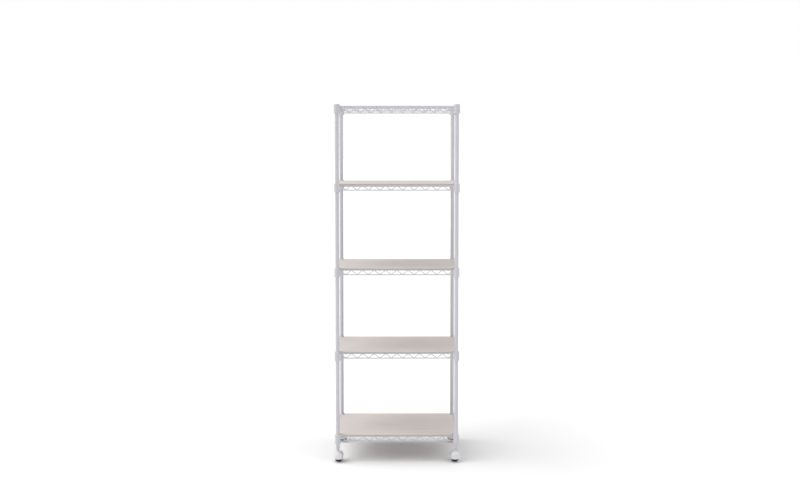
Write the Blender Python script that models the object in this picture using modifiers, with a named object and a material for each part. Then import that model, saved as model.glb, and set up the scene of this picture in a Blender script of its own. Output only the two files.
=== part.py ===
"""Five-tier wire shelving rack on twin-wheel casters.

Metres, +Z up. The origin is on the floor under the middle of the rack, +X is to the right
and +Y is to the back. Each shelf is one welded wire frame, wedged on four two-part posts by
split sleeves. The four lower shelves carry a loose board.
"""
import math

import bmesh
import bpy
from mathutils import Matrix, Vector

# Clearance between pieces that touch on the real rack
GAP = 0.0003

# Posts: round tube in two lengths, screwed together end to end
POST_X = 0.2875
POST_Y = 0.160
POST_RADIUS = 0.0095
POST_WALL = 0.001
POST_FOOT_Z = 0.070
POST_SEAM_Z = 0.658
POST_HEAD_Z = 1.737
SPIGOT_LENGTH = 0.028
SPIGOT_WALL = 0.0013
CAP_RISE = 0.0045
CAP_PLUG_LENGTH = 0.012
# Dome of the cap, as (fraction of the radius, fraction of the rise)
CAP_DOME = ((1.0, 0.0), (0.92, 0.45), (0.60, 0.85), (0.0, 1.0))

# Shelves: heights are those of the top rail's middle, on a one-inch pitch
GROOVE_PITCH = 0.0254
SHELF_1_Z = 0.1297
SHELF_STEPS = (0, 16, 32, 48, 63)
SHELF_SEAT_RISE = (0.0, 0.0, 0.0, 0.002, 0.0)
RAIL_SPACING = 0.0225
RAIL_HEIGHT = 0.0050
TRUSS_THICKNESS = 0.0044
TRUSS_WEB = 0.0040
LONG_TRUSS_WAVES = 10
SHORT_TRUSS_WAVES = 5
MAT_WIRES = 10
MAT_WIRE_RADIUS = 0.0015
CROSS_RODS = 4
CROSS_ROD_RADIUS = 0.00225
CROSS_ROD_DROP = 0.0040
CROSS_ROD_TRUSS_STEPS = 6

# Corner collars and the split sleeves inside them
COLLAR_RADIUS = 0.0150
COLLAR_ABOVE_RAIL = 0.008
COLLAR_BELOW_RAIL = 0.011
SLEEVE_WALL = 0.0024
SLEEVE_LIP = 0.0025
SLEEVE_SLIT = 0.0015

# Boards on the four lower shelves
BOARD_THICKNESS = 0.005
BOARD_REST = 0.00275
BOARD_OVERHANG = 0.003
BOARD_NOTCH_GAP = 0.0035
NOTCH_STEPS = 4

# Casters: two wheels on one axle under a hood; an ellipse rounds hood and wheels sideways
WHEEL_RADIUS = 0.025
WHEEL_WIDTH = 0.0165
WHEEL_EDGE = 0.0008
WHEEL_CROWN_STEPS = 4
WHEEL_SHOULDER = 0.0180
WHEEL_FACE_RADIUS = 0.0142
AXLE_RADIUS = 0.003
CROWN_HALF_WIDTH = 0.0222
CROWN_HEIGHT = 0.0160
HOOD_WIDTH = 0.0430
HOOD_SHELL = 0.0019
HOOD_WEB = 0.0070
HOOD_SHOULDER = 0.0090
HOOD_SHOULDER_STEPS = 3
HOOD_NOSE = 0.0135
HOOD_NOSE_ROUND = 0.0165
HOOD_NOSE_Z = 0.0195
HOOD_TAIL_Z = 0.0170
HOOD_ARC_STEPS = 9
HOOD_NOSE_STEPS = 4
BOSS_RADIUS = 0.0085
BOSS_TOP_Z = 0.0595
WHEEL_POCKET_GAP = 0.0011
CASTER_TRAIL = 0.020
STEM_PIN_RADIUS = 0.004
STEM_PIN_Z = 0.0505
STEM_NECK_RADIUS = 0.0055
STEM_FLANGE = 0.0016
STEM_INSERT_LENGTH = 0.020
BEARING_GAP = 0.0004

# Direction in which each caster trails, in degrees about +Z from +X
CASTER_HEADINGS = {"front_left": 82.0, "front_right": 105.0, "back_left": -75.0, "back_right": -98.0}

ROUND_STEPS = 12
WHEEL_STEPS = 16
MERGE = 0.00001
SHARP_EDGE = math.radians(35.0)
FLAT_EDGE = math.radians(0.5)
# Longer than any collar is high
BORE_CUTTER_LENGTH = 0.2
# A square wire of this half diagonal has the section area of a round one of radius 1
SQUARE_WIRE = math.sqrt(math.pi / 2.0)

CORNERS = {
    "front_left": (-POST_X, -POST_Y),
    "front_right": (POST_X, -POST_Y),
    "back_left": (-POST_X, POST_Y),
    "back_right": (POST_X, POST_Y),
}


# ---------------------------------------------------------------- scene and materials

def clear_scene():
    for thing in list(bpy.data.objects):
        bpy.data.objects.remove(thing, do_unlink=True)


def new_collection(name):
    group = bpy.data.collections.new(name)
    bpy.context.scene.collection.children.link(group)
    return group


def principled(name, colour, roughness, metallic=0.0):
    finish = bpy.data.materials.new(name)
    finish.use_nodes = True
    shader = finish.node_tree.nodes["Principled BSDF"]
    shader.inputs["Base Color"].default_value = (*colour, 1.0)
    shader.inputs["Roughness"].default_value = roughness
    shader.inputs["Metallic"].default_value = metallic
    finish.diffuse_color = (*colour, 1.0)
    return finish


def add_object(name, mesh, group, place=(0.0, 0.0, 0.0), turn=0.0, parent=None):
    thing = bpy.data.objects.new(name, mesh)
    thing.location = place
    thing.rotation_euler = (0.0, 0.0, turn)
    thing.parent = parent
    group.objects.link(thing)
    return thing


def with_finish(mesh, finish):
    mesh.materials.clear()
    mesh.materials.append(finish)
    return mesh


def shade_round(mesh):
    mesh.shade_smooth()
    mesh.set_sharp_from_angle(angle=SHARP_EDGE)


# ---------------------------------------------------------------- shapes

def quarter_turn(axis):
    """A turn of exactly 90 degrees, with no rounding that would leave a flat face uneven."""
    turn = Matrix.Rotation(math.radians(90.0), 4, axis)
    return Matrix([[round(value) for value in row] for row in turn])


def evaluated_mesh(thing):
    """The mesh of an object with its modifiers applied; the object itself is removed."""
    bpy.context.view_layer.update()
    graph = bpy.context.evaluated_depsgraph_get()
    mesh = bpy.data.meshes.new_from_object(thing.evaluated_get(graph), depsgraph=graph)
    mesh.transform(thing.matrix_world)
    bpy.data.objects.remove(thing, do_unlink=True)
    return mesh


def weld(mesh):
    shape = bmesh.new()
    shape.from_mesh(mesh)
    bmesh.ops.remove_doubles(shape, verts=shape.verts, dist=MERGE)
    bmesh.ops.recalc_face_normals(shape, faces=shape.faces)
    shape.to_mesh(mesh)
    shape.free()
    return mesh


def turned(name, profile, steps, closed=False):
    """A profile of (radius, height) points turned about Z with a Screw modifier."""
    count = len(profile)
    edges = [(i, i + 1) for i in range(count - 1)]
    if closed:
        edges.append((count - 1, 0))
    line = bpy.data.meshes.new(name)
    line.from_pydata([(radius, 0.0, height) for radius, height in profile], edges, [])
    thing = add_object(name, line, bpy.context.scene.collection)
    screw = thing.modifiers.new("turn", 'SCREW')
    screw.steps = steps
    screw.render_steps = steps
    screw.use_merge_vertices = True
    screw.merge_threshold = MERGE
    mesh = weld(evaluated_mesh(thing))
    shade_round(mesh)
    return mesh


def flat_outline(name, outlines, thickness):
    """Closed outlines in the XY plane, filled and extruded about z = 0; inner ones are holes."""
    curve = bpy.data.curves.new(name, 'CURVE')
    curve.dimensions = '2D'
    curve.fill_mode = 'BOTH'
    curve.extrude = thickness / 2.0
    for outline in outlines:
        spline = curve.splines.new('POLY')
        spline.points.add(len(outline) - 1)
        for point, (x, y) in zip(spline.points, outline):
            point.co = (x, y, 0.0, 1.0)
        spline.use_cyclic_u = True
    return weld(evaluated_mesh(add_object(name, curve, bpy.context.scene.collection)))


def straight_wires(name, runs, radius):
    """Square wires with level faces, one along each (start, end) run, as one mesh."""
    curve = bpy.data.curves.new(name, 'CURVE')
    curve.dimensions = '3D'
    curve.bevel_depth = radius * SQUARE_WIRE
    curve.bevel_resolution = 0
    curve.use_fill_caps = True
    for run in runs:
        spline = curve.splines.new('POLY')
        spline.points.add(1)
        for point, place in zip(spline.points, run):
            point.co = (*place, 1.0)
            point.tilt = math.radians(45.0)
    return weld(evaluated_mesh(add_object(name, curve, bpy.context.scene.collection)))


def combine(name, mesh, operation, others, cutters):
    """Boolean of a mesh with each of the other meshes in turn."""
    thing = add_object(name, mesh, bpy.context.scene.collection)
    helpers = []
    for number, other in enumerate(others):
        helper = add_object(f"{name}_tool_{number}", other, cutters)
        helper.hide_render = True
        helper.display_type = 'WIRE'
        step = thing.modifiers.new(f"step_{number}", 'BOOLEAN')
        step.operation = operation
        step.solver = 'EXACT'
        step.object = helper
        helpers.append(helper)
    result = evaluated_mesh(thing)
    for helper in helpers:
        bpy.data.objects.remove(helper, do_unlink=True)
    return result


# ---------------------------------------------------------------- posts

def lower_post_mesh():
    bore = POST_RADIUS - POST_WALL
    spigot = bore - GAP
    top = POST_SEAM_Z + SPIGOT_LENGTH
    profile = [
        (bore, POST_FOOT_Z),
        (POST_RADIUS, POST_FOOT_Z),
        (POST_RADIUS, POST_SEAM_Z),
        (spigot, POST_SEAM_Z),
        (spigot, top),
        (spigot - SPIGOT_WALL, top),
        (spigot - SPIGOT_WALL, POST_SEAM_Z - SPIGOT_LENGTH),
        (bore, POST_SEAM_Z - SPIGOT_LENGTH),
    ]
    return turned("lower_post", profile, ROUND_STEPS, closed=True)


def upper_post_mesh():
    bore = POST_RADIUS - POST_WALL
    foot = POST_SEAM_Z + GAP
    profile = [(bore, foot), (POST_RADIUS, foot), (POST_RADIUS, POST_HEAD_Z), (bore, POST_HEAD_Z)]
    return turned("upper_post", profile, ROUND_STEPS, closed=True)


def cap_mesh():
    plug = POST_RADIUS - POST_WALL - GAP
    seat = POST_HEAD_Z + GAP
    profile = [
        (0.0, POST_HEAD_Z - CAP_PLUG_LENGTH),
        (plug, POST_HEAD_Z - CAP_PLUG_LENGTH),
        (plug, seat),
    ]
    profile += [(POST_RADIUS * across, seat + CAP_RISE * up) for across, up in CAP_DOME]
    return turned("cap", profile, ROUND_STEPS)


def add_posts(group, coat, plastic):
    lower = with_finish(lower_post_mesh(), coat)
    upper = with_finish(upper_post_mesh(), coat)
    cap = with_finish(cap_mesh(), plastic)
    for corner, (x, y) in CORNERS.items():
        add_object(f"lower_post_{corner}", lower, group, (x, y, 0.0))
        add_object(f"upper_post_{corner}", upper, group, (x, y, 0.0))
        add_object(f"post_cap_{corner}", cap, group, (x, y, 0.0))


# ---------------------------------------------------------------- shelves

def truss_step(length, waves):
    """Half a wave of the zig-zag, which starts and ends inside the walls of two collars."""
    return (length - 2.0 * COLLAR_RADIUS + TRUSS_WEB) / (2 * waves)


def truss_mesh(length, waves, cutters):
    """Two rails and the zig-zag between them as a lattice in the XZ plane, about the top rail."""
    half_rail = RAIL_HEIGHT / 2.0
    outer = [(-length / 2.0, half_rail), (length / 2.0, half_rail)]
    outer += [(length / 2.0, -RAIL_SPACING - half_rail), (-length / 2.0, -RAIL_SPACING - half_rail)]
    holes = []
    step = truss_step(length, waves)
    first = -step * waves
    low = -RAIL_SPACING + half_rail
    inner_height = -half_rail - low
    slope_gap = TRUSS_WEB * math.hypot(step, RAIL_SPACING) / RAIL_SPACING
    reach = step * inner_height / RAIL_SPACING
    for number in range(1, 2 * waves):
        middle = first + step * number
        wide, narrow = (low, -half_rail) if number % 2 == 0 else (-half_rail, low)
        half = reach + (step - reach) / 2.0 - slope_gap / 2.0
        tip = half - reach
        if tip > MERGE:
            ends = [(middle + tip, narrow), (middle - tip, narrow)]
        else:
            full = half / reach * (narrow - wide)
            ends = [(middle, wide + full)]
        holes.append([(middle - half, wide), (middle + half, wide)] + ends)
    for sign in (-1.0, 1.0):
        end = sign * step * waves
        holes.append([(end, low), (end - sign * half, low), (end, low + half / reach * inner_height)])
    plate = flat_outline("truss", [outer], TRUSS_THICKNESS)
    lattice = combine("truss", plate, 'DIFFERENCE',
                      [flat_outline("truss_holes", holes, 2.0 * TRUSS_THICKNESS)], cutters)
    lattice.transform(quarter_turn('X'))
    return lattice


def collars_mesh():
    """Four solid collars; the bores are cut last, through everything that reaches into them."""
    shape = bmesh.new()
    height = COLLAR_ABOVE_RAIL + RAIL_SPACING + COLLAR_BELOW_RAIL
    middle = COLLAR_ABOVE_RAIL - height / 2.0
    for x, y in CORNERS.values():
        bmesh.ops.create_cone(shape, cap_ends=True, segments=ROUND_STEPS, radius1=COLLAR_RADIUS,
                              radius2=COLLAR_RADIUS, depth=height, matrix=collar_place(x, y, middle))
    mesh = bpy.data.meshes.new("collars")
    shape.to_mesh(mesh)
    shape.free()
    return mesh


def collar_place(x, y, z):
    """Puts a cone so that one of its corners points along +X, as the Screw modifier does."""
    return Matrix.Translation((x, y, z)) @ quarter_turn('Z')


def bores_mesh():
    shape = bmesh.new()
    radius = POST_RADIUS + SLEEVE_WALL + 2.0 * GAP
    for x, y in CORNERS.values():
        bmesh.ops.create_cone(shape, cap_ends=True, segments=ROUND_STEPS, radius1=radius,
                              radius2=radius, depth=BORE_CUTTER_LENGTH,
                              matrix=collar_place(x, y, 0.0))
    mesh = bpy.data.meshes.new("bores")
    shape.to_mesh(mesh)
    shape.free()
    return mesh


def shelf_mesh(cutters):
    """One welded wire shelf, its top rails' middle at z = 0."""
    long_side = truss_mesh(2.0 * POST_X, LONG_TRUSS_WAVES, cutters)
    short_side = truss_mesh(2.0 * POST_Y, SHORT_TRUSS_WAVES, cutters)
    short_side.transform(quarter_turn('Z'))
    sides = []
    for mesh, offset in ((long_side, (0.0, POST_Y, 0.0)), (short_side, (POST_X, 0.0, 0.0))):
        for sign in (-1.0, 1.0):
            side = mesh.copy()
            side.transform(Matrix.Translation(Vector(offset) * sign))
            sides.append(side)
    mat_pitch = 2.0 * POST_Y / (MAT_WIRES + 1)
    mat_rows = [mat_pitch * (row - (MAT_WIRES - 1) / 2.0) for row in range(MAT_WIRES)]
    mat = straight_wires("mat", [((-POST_X, y, 0.0), (POST_X, y, 0.0)) for y in mat_rows],
                         MAT_WIRE_RADIUS)
    rod_pitch = CROSS_ROD_TRUSS_STEPS * truss_step(2.0 * POST_X, LONG_TRUSS_WAVES)
    rod_rows = [rod_pitch * (row - (CROSS_RODS - 1) / 2.0) for row in range(CROSS_RODS)]
    reach = POST_Y + TRUSS_THICKNESS / 2.0 - GAP
    rods = straight_wires("rods", [((x, -reach, -CROSS_ROD_DROP), (x, reach, -CROSS_ROD_DROP))
                                   for x in rod_rows], CROSS_ROD_RADIUS)
    joined = combine("shelf", collars_mesh(), 'UNION', sides + [mat, rods], cutters)
    shelf = combine("shelf", joined, 'DIFFERENCE', [bores_mesh()], cutters)
    tidy_faces(shelf)
    return shelf


def tidy_faces(mesh):
    """Merges faces that lie in one plane, so that a joined shape keeps few triangles."""
    shape = bmesh.new()
    shape.from_mesh(mesh)
    bmesh.ops.remove_doubles(shape, verts=shape.verts, dist=MERGE)
    bmesh.ops.dissolve_limit(shape, angle_limit=FLAT_EDGE, verts=shape.verts,
                             edges=shape.edges)
    bmesh.ops.triangulate(shape, faces=shape.faces)
    shape.to_mesh(mesh)
    shape.free()


def shelf_heights():
    return [SHELF_1_Z + GROOVE_PITCH * steps + rise for steps, rise in zip(SHELF_STEPS, SHELF_SEAT_RISE)]


def add_shelves(group, cutters, coat):
    shelf = with_finish(shelf_mesh(cutters), coat)
    for number, height in enumerate(shelf_heights(), start=1):
        add_object(f"shelf_{number}", shelf, group, (0.0, 0.0, height))


# ---------------------------------------------------------------- sleeves

def sleeve_mesh():
    """A split ring that fills the space between post and collar; the slit faces along +X."""
    inner = POST_RADIUS + GAP
    outer = inner + SLEEVE_WALL
    height = COLLAR_ABOVE_RAIL + RAIL_SPACING + COLLAR_BELOW_RAIL + SLEEVE_LIP
    half_slit = math.asin(SLEEVE_SLIT / 2.0 / inner)
    turns = [half_slit] + [2.0 * math.pi * step / ROUND_STEPS for step in range(1, ROUND_STEPS)]
    turns.append(2.0 * math.pi - half_slit)
    ring = [(outer * math.cos(turn), outer * math.sin(turn)) for turn in turns]
    ring += [(inner * math.cos(turn), inner * math.sin(turn)) for turn in reversed(turns)]
    mesh = flat_outline("sleeve", [ring], height)
    mesh.transform(Matrix.Translation((0.0, 0.0, COLLAR_ABOVE_RAIL + SLEEVE_LIP - height / 2.0)))
    shade_round(mesh)
    return mesh


def add_sleeves(group, plastic):
    sleeve = with_finish(sleeve_mesh(), plastic)
    for number, height in enumerate(shelf_heights(), start=1):
        for corner, (x, y) in CORNERS.items():
            slit_turn = math.radians(180.0) if x > 0.0 else 0.0
            add_object(f"sleeve_{number}_{corner}", sleeve, group, (x, y, height), slit_turn)


# ---------------------------------------------------------------- boards

def board_mesh():
    """A flat board with a quarter-round notch about each collar."""
    radius = COLLAR_RADIUS + BOARD_NOTCH_GAP
    past_post = math.asin(BOARD_OVERHANG / radius)
    arc = []
    for step in range(NOTCH_STEPS + 1):
        turn = -past_post + (math.pi / 2.0 + 2.0 * past_post) * step / NOTCH_STEPS
        arc.append((POST_X - radius * math.sin(turn), POST_Y - radius * math.cos(turn)))
    outline = arc + [(-x, y) for x, y in reversed(arc)]
    outline += [(-x, -y) for x, y in arc] + [(x, -y) for x, y in reversed(arc)]
    mesh = flat_outline("board", [outline], BOARD_THICKNESS)
    mesh.transform(Matrix.Translation((0.0, 0.0, BOARD_REST + GAP + BOARD_THICKNESS / 2.0)))
    return mesh


def add_boards(group, wood):
    board = with_finish(board_mesh(), wood)
    for number, height in enumerate(shelf_heights()[:-1], start=1):
        add_object(f"board_{number}", board, group, (0.0, 0.0, height))


# ---------------------------------------------------------------- casters

def stem_mesh():
    """Swivel pin, neck, flange under the post and the insert inside it, as one turned piece."""
    insert = POST_RADIUS - POST_WALL - GAP
    shoulder = BOSS_TOP_Z + BEARING_GAP
    flange_top = POST_FOOT_Z - GAP
    profile = [
        (0.0, STEM_PIN_Z),
        (STEM_PIN_RADIUS, STEM_PIN_Z),
        (STEM_PIN_RADIUS, shoulder),
        (STEM_NECK_RADIUS, shoulder),
        (STEM_NECK_RADIUS, flange_top - STEM_FLANGE),
        (POST_RADIUS, flange_top - STEM_FLANGE),
        (POST_RADIUS, flange_top),
        (insert, flange_top),
        (insert, POST_FOOT_Z + STEM_INSERT_LENGTH),
        (0.0, POST_FOOT_Z + STEM_INSERT_LENGTH),
    ]
    return turned("stem", profile, ROUND_STEPS)


def crown_rows():
    """A wheel's running surface as (radius, distance from the hood's middle) rows: the ellipse
    that rounds the hood, stepped in by the shell and the clearance along its own normal."""
    first = HOOD_WEB / 2.0 + BEARING_GAP + WHEEL_EDGE
    rows = []
    for step in range(WHEEL_CROWN_STEPS):
        across = first + (WHEEL_SHOULDER - first) * step / (WHEEL_CROWN_STEPS - 1)
        root = math.sqrt(1.0 - (across / CROWN_HALF_WIDTH) ** 2)
        slope = CROWN_HEIGHT * across / (CROWN_HALF_WIDTH ** 2 * root)
        inset = (HOOD_SHELL + WHEEL_POCKET_GAP) * (math.hypot(1.0, slope) - 1.0)
        rows.append((WHEEL_RADIUS - CROWN_HEIGHT * (1.0 - root) - inset, across))
    rise = WHEEL_RADIUS - rows[0][0]
    return [(radius + rise, across) for radius, across in rows]


def hood_outline():
    """Side view of the hood: x along the trail, y up; the tail follows the wheels."""
    radius = WHEEL_RADIUS + WHEEL_POCKET_GAP + HOOD_SHELL
    centre = (CASTER_TRAIL, WHEEL_RADIUS)
    tail = math.asin((HOOD_TAIL_Z - WHEEL_RADIUS) / radius)
    outline = []
    for step in range(HOOD_ARC_STEPS):
        turn = tail + (math.pi / 2.0 - tail) * step / (HOOD_ARC_STEPS - 1)
        outline.append((centre[0] + radius * math.cos(turn), centre[1] + radius * math.sin(turn)))
    crest = WHEEL_RADIUS + radius
    for step in range(HOOD_NOSE_STEPS + 1):
        turn = math.pi / 2.0 * (1.0 + step / HOOD_NOSE_STEPS)
        outline.append((HOOD_NOSE_ROUND * (1.0 + math.cos(turn)) - HOOD_NOSE,
                        crest - HOOD_NOSE_ROUND * (1.0 - math.sin(turn))))
    outline += [(-HOOD_NOSE + WHEEL_EDGE, HOOD_NOSE_Z)]
    outline += [(0.0, HOOD_NOSE_Z)]
    outline += [(CASTER_TRAIL, WHEEL_RADIUS - 2.0 * AXLE_RADIUS)]
    return outline


def round_shoulders(mesh):
    """Bevels the edges over and before the wheels on both side faces of the hood."""
    shape = bmesh.new()
    shape.from_mesh(mesh)
    bmesh.ops.dissolve_limit(shape, angle_limit=FLAT_EDGE, verts=shape.verts, edges=shape.edges)
    weight = shape.edges.layers.float.new("bevel_weight_edge")
    for edge in shape.edges:
        ends = [vertex.co for vertex in edge.verts]
        below = max(end.z for end in ends) < HOOD_NOSE_Z + MERGE
        edge[weight] = float(abs(ends[0].y - ends[1].y) < MERGE and not below)
    shape.to_mesh(mesh)
    shape.free()
    thing = add_object("hood", mesh, bpy.context.scene.collection)
    bevel = thing.modifiers.new("shoulders", 'BEVEL')
    bevel.limit_method = 'WEIGHT'
    bevel.width = HOOD_SHOULDER
    bevel.segments = HOOD_SHOULDER_STEPS
    return evaluated_mesh(thing)


def lay_on_axle(mesh, turn=0.0):
    """Lays a shape turned about Z along the axle, through the wheels' middle."""
    mesh.transform(quarter_turn('X'))
    mesh.transform(Matrix.Rotation(turn, 4, 'Z'))
    mesh.transform(Matrix.Translation((CASTER_TRAIL, 0.0, WHEEL_RADIUS)))
    return mesh


def wheel_profile():
    """Closed profile of one wheel: bore, inner face, crown and dished outer face."""
    inner = HOOD_WEB / 2.0 + BEARING_GAP
    crown = crown_rows()
    profile = [(AXLE_RADIUS + GAP, -inner), (crown[0][0] - WHEEL_EDGE, -inner)]
    profile += [(radius, -across) for radius, across in crown]
    profile += [(WHEEL_FACE_RADIUS, -inner - WHEEL_WIDTH), (AXLE_RADIUS + GAP, -inner - WHEEL_WIDTH)]
    return profile


def pocket_profile():
    """The space that one wheel turns in, open at the hood's side."""
    crown = [(radius + WHEEL_POCKET_GAP, -across) for radius, across in crown_rows()]
    start = (crown[0][0], -HOOD_WEB / 2.0)
    return [(0.0, -HOOD_WEB / 2.0), start] + crown + [(crown[-1][0], -HOOD_WIDTH), (0.0, -HOOD_WIDTH)]


def hood_mesh(cutters):
    """Hood with a web between the wheels, a pocket for each wheel, and the pressed-in axle."""
    body = flat_outline("hood", [hood_outline()], HOOD_WIDTH)
    body.transform(quarter_turn('X'))
    body = round_shoulders(body)
    pockets = [lay_on_axle(turned("pocket", pocket_profile(), WHEEL_STEPS), turn)
               for turn in (0.0, math.pi)]
    boss = turned("boss", [(0.0, STEM_PIN_Z), (BOSS_RADIUS, STEM_PIN_Z), (BOSS_RADIUS, BOSS_TOP_Z),
                           (0.0, BOSS_TOP_Z)], ROUND_STEPS)
    over_boss = BOSS_TOP_Z + STEM_FLANGE
    bore = turned("pin_bore", [(0.0, STEM_PIN_Z - BEARING_GAP),
                               (STEM_PIN_RADIUS + GAP, STEM_PIN_Z - BEARING_GAP),
                               (STEM_PIN_RADIUS + GAP, over_boss), (0.0, over_boss)], ROUND_STEPS)
    with_boss = combine("hood", body, 'UNION', [boss], cutters)
    hollow = combine("hood", with_boss, 'DIFFERENCE', pockets + [bore], cutters)
    reach = HOOD_WEB / 2.0 + WHEEL_WIDTH
    axle = turned("axle", [(0.0, -reach), (AXLE_RADIUS, -reach), (AXLE_RADIUS, reach), (0.0, reach)],
                  ROUND_STEPS)
    hood = combine("hood", hollow, 'UNION', [lay_on_axle(axle)], cutters)
    tidy_faces(hood)
    shade_round(hood)
    return hood


def wheel_mesh():
    """The wheel on the trail's left, its axle along Y through the origin."""
    mesh = turned("wheel", wheel_profile(), WHEEL_STEPS, closed=True)
    mesh.transform(quarter_turn('X'))
    return mesh


def add_casters(group, cutters, plastic, rubber, steel):
    stem = with_finish(stem_mesh(), steel)
    hood = with_finish(hood_mesh(cutters), plastic)
    wheel = with_finish(wheel_mesh(), rubber)
    axle_place = (CASTER_TRAIL, 0.0, WHEEL_RADIUS)
    for corner, (x, y) in CORNERS.items():
        add_object(f"caster_stem_{corner}", stem, group, (x, y, 0.0))
        swivel = bpy.data.objects.new(f"swivel_{corner}", None)
        swivel.location = (x, y, 0.0)
        swivel.rotation_euler = (0.0, 0.0, math.radians(CASTER_HEADINGS[corner]))
        group.objects.link(swivel)
        add_object(f"caster_hood_{corner}", hood, group, parent=swivel)
        for side, turn in (("left", 0.0), ("right", math.pi)):
            add_object(f"caster_wheel_{corner}_{side}", wheel, group, axle_place, turn, swivel)


# ---------------------------------------------------------------- the rack

def main():
    clear_scene()
    group = new_collection("wire_shelving_rack")
    cutters = new_collection("cutters")
    coat = principled("white_powder_coat", (0.78, 0.78, 0.80), 0.35)
    plastic = principled("white_plastic", (0.80, 0.80, 0.82), 0.40)
    wood = principled("greige_board", (0.58, 0.53, 0.51), 0.55)
    rubber = principled("dark_rubber", (0.03, 0.03, 0.03), 0.70)
    steel = principled("plated_steel", (0.60, 0.60, 0.62), 0.30, 1.0)
    add_posts(group, coat, plastic)
    add_shelves(group, cutters, coat)
    add_sleeves(group, plastic)
    add_boards(group, wood)
    add_casters(group, cutters, plastic, rubber, steel)


main()
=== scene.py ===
"""Wire shelving rack on casters: the finished look of every piece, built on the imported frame.

Metres, +Z up. Each new piece is worked out as whole numpy arrays: a round section carried along
a path, a profile turned about an axis, or an outline stepped inwards. Sizes that the frame
settles are read from its boxes, and the property groups hold the rest.
"""
import math

import bpy
import numpy as np
from bpy.props import FloatProperty, FloatVectorProperty, IntProperty
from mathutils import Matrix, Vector


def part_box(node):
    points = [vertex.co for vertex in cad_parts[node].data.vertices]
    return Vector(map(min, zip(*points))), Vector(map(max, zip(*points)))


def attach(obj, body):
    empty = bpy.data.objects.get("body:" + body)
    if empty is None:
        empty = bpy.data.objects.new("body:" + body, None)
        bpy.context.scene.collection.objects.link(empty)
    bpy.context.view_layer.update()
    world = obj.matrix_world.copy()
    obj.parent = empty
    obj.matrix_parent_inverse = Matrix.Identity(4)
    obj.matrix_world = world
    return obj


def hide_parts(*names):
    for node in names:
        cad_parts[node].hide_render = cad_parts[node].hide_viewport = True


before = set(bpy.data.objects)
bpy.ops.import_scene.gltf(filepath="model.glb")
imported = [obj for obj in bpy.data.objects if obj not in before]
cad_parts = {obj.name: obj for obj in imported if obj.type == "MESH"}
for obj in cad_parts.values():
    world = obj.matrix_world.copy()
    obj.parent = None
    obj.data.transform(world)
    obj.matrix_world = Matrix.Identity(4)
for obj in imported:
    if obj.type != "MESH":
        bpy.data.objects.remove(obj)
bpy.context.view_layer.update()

bl_info = {
    "name": "Wire shelving rack",
    "version": (1, 0, 0),
    "blender": (4, 5, 0),
    "location": "View3D > Sidebar > Rack",
    "description": "Builds the posts, wire shelves, boards and casters of a rolling rack",
    "category": "Object",
}

CORNERS = ("front_left", "front_right", "back_left", "back_right")
SIDES = ("left", "right")
SHELF_NUMBERS = (1, 2, 3, 4, 5)
BOARD_NUMBERS = (1, 2, 3, 4)
STAND = "rack_frame"

# What part.py settles and a node's box can't give
POST_RADIUS = 0.0095
POST_WALL = 0.001
SPIGOT_LENGTH = 0.028
SPIGOT_WALL = 0.0013
COLLAR_ABOVE_RAIL = 0.008
RAIL_SPACING = 0.0225
RAIL_END_TO_POST = 0.0136
LONG_TRUSS_STEPS = 20
SHORT_TRUSS_STEPS = 10
TRUSS_END_TO_POST = 0.013
MAT_WIRES = 10
CROSS_RODS = 4
CROSS_ROD_TRUSS_STEPS = 6
NOTCH_RADIUS = 0.0185
WHEEL_TO_WEB = 0.0004
GAP = 0.0003

# The matrix that makes Z coordinates Y coordinates, and the other way round
LAID_ALONG_Y = ((1.0, 0.0, 0.0), (0.0, 0.0, 1.0), (0.0, 1.0, 0.0))

# Directions in which the soft lights travel
LIGHT_HEADINGS = {"key": (1.9, 0.3, -2.1), "fill": (-1.9, 0.6, -2.1), "top": (0.0, -0.5, -2.5)}


def corner_place(corner):
    """The post's axis at a corner, on the floor."""
    low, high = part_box(f"lower_post_{corner}")
    return np.array([(low.x + high.x) / 2.0, (low.y + high.y) / 2.0, 0.0])


def shelf_height(number):
    """The height of a shelf's top rails: their middle is a fixed drop below the collar's rim."""
    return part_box(f"shelf_{number}")[1].z - COLLAR_ABOVE_RAIL


# ---------------------------------------------------------------- settings

class RackPostSettings(bpy.types.PropertyGroup):
    """Sizes of the posts, their caps and the split sleeves."""
    groove_pitch: FloatProperty(
        name="Groove pitch", description="Distance between two locating grooves",
        default=0.0254, min=0.005, unit='LENGTH')
    groove_depth: FloatProperty(
        name="Groove depth", description="How far a groove is rolled into the tube",
        default=0.00045, min=0.0, unit='LENGTH')
    groove_width: FloatProperty(
        name="Groove width", description="Height of a groove along the post",
        default=0.0024, min=0.0005, unit='LENGTH')
    groove_offset: FloatProperty(
        name="Groove offset", description="Height of a groove below a shelf's top rail",
        default=0.0127, unit='LENGTH')
    sides: IntProperty(
        name="Steps round", description="Steps round a turned piece", default=48, min=12)


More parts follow.
